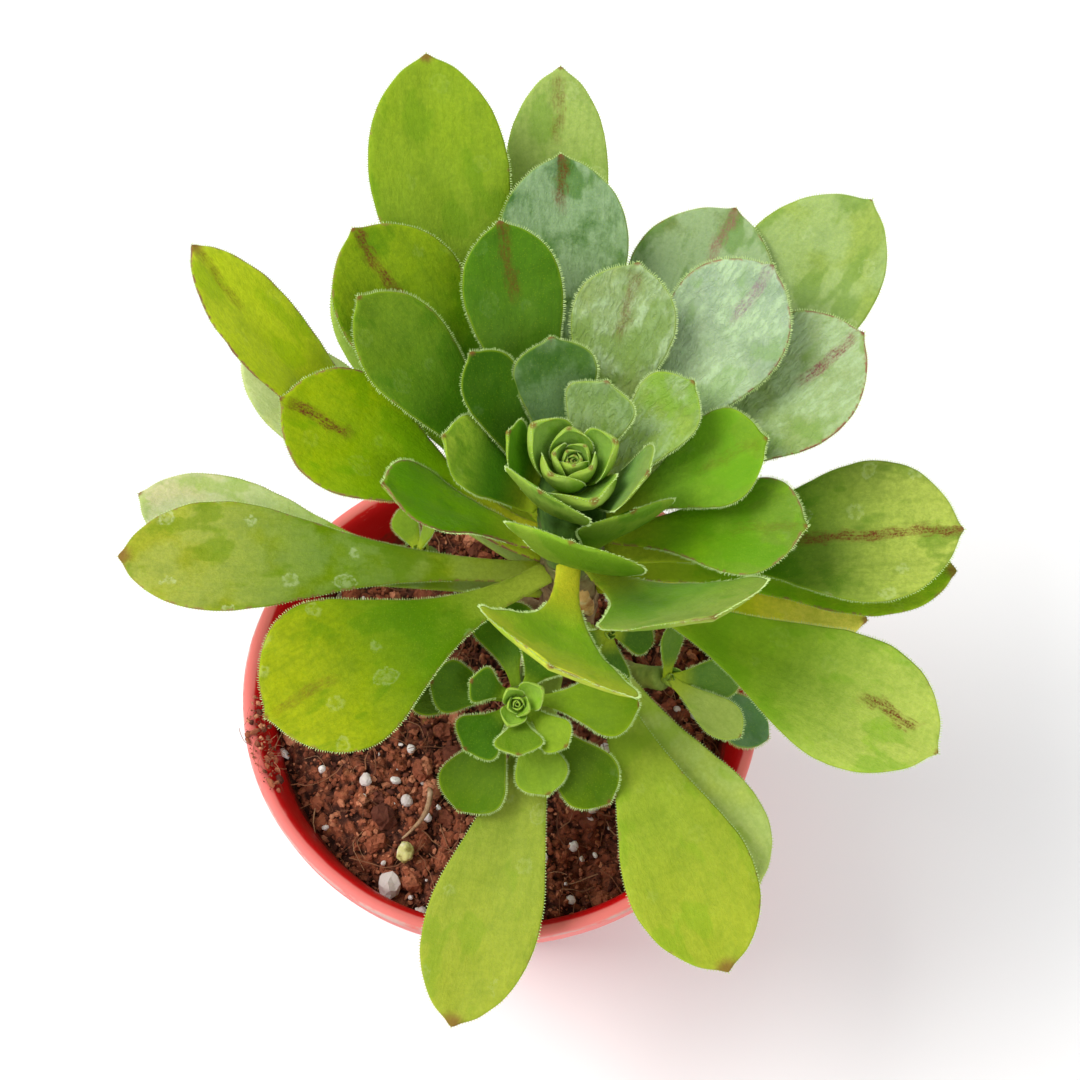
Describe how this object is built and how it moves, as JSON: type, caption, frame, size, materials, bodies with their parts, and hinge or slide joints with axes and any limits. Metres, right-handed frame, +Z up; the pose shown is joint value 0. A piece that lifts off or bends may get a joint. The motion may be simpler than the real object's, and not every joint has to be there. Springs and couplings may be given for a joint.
{
  "type": "potted tree aeonium",
  "caption": "Tree aeonium in a small round nursery pot: a fleshy leaf rosette on a short branching stem, with an open young rosette, small side shoots and soil.",
  "frame": {"origin": "centre of the pot's underside, on the surface it stands on", "axes": "+Z up along the pot's axis; -Y is the side seen in front; +X is to the right of that side"},
  "size_m": [0.1531, 0.1648, 0.1587],
  "materials": {
    "pot_plastic": "satin",
    "soil_peat": "matt, crumbly",
    "stem_bark": "matt, scarred",
    "heart_leaf": "satin, downy",
    "inner_leaf": "satin, downy",
    "middle_leaf": "satin",
    "outer_leaf": "satin",
    "lower_leaf": "satin",
    "young_leaf": "satin, downy"
  },
  "bodies": {
    "root": {"pot": "pot_plastic", "soil": "soil_peat", "stem": "stem_bark", "rosette_heart": "heart_leaf", "inner_leaf_1": "inner_leaf", "inner_leaf_2": "inner_leaf", "inner_leaf_3": "inner_leaf", "inner_leaf_4": "inner_leaf", "inner_leaf_5": "inner_leaf", "inner_leaf_6": "inner_leaf", "inner_leaf_7": "inner_leaf", "inner_leaf_8": "inner_leaf", "inner_leaf_9": "inner_leaf", "inner_leaf_10": "inner_leaf", "middle_leaf_1": "middle_leaf", "middle_leaf_2": "middle_leaf", "middle_leaf_3": "middle_leaf", "middle_leaf_4": "middle_leaf", "middle_leaf_5": "middle_leaf", "middle_leaf_6": "middle_leaf", "middle_leaf_7": "middle_leaf", "middle_leaf_8": "middle_leaf", "middle_leaf_9": "middle_leaf", "outer_leaf_1": "outer_leaf", "outer_leaf_2": "outer_leaf", "outer_leaf_3": "outer_leaf", "outer_leaf_4": "outer_leaf", "outer_leaf_5": "outer_leaf", "outer_leaf_6": "outer_leaf", "outer_leaf_7": "outer_leaf", "outer_leaf_8": "outer_leaf", "outer_leaf_9": "outer_leaf", "outer_leaf_10": "outer_leaf", "outer_leaf_11": "outer_leaf", "lower_leaf_1": "lower_leaf", "lower_leaf_2": "lower_leaf", "lower_leaf_3": "lower_leaf", "lower_leaf_4": "lower_leaf", "lower_leaf_5": "lower_leaf", "lower_leaf_6": "lower_leaf", "lower_leaf_7": "lower_leaf", "lower_leaf_8": "lower_leaf", "lower_leaf_9": "lower_leaf", "lower_leaf_10": "lower_leaf", "young_heart": "heart_leaf", "young_leaf_1": "young_leaf", "young_leaf_2": "young_leaf", "young_leaf_3": "young_leaf", "young_leaf_4": "young_leaf", "young_leaf_5": "young_leaf", "young_leaf_6": "young_leaf", "young_leaf_7": "young_leaf", "young_leaf_8": "young_leaf", "young_leaf_9": "young_leaf", "young_leaf_10": "young_leaf", "young_leaf_11": "young_leaf", "young_leaf_12": "young_leaf", "right_shoot": "young_leaf", "left_shoot": "young_leaf", "stem_shoot": "young_leaf"}
  },
  "joints": []
}
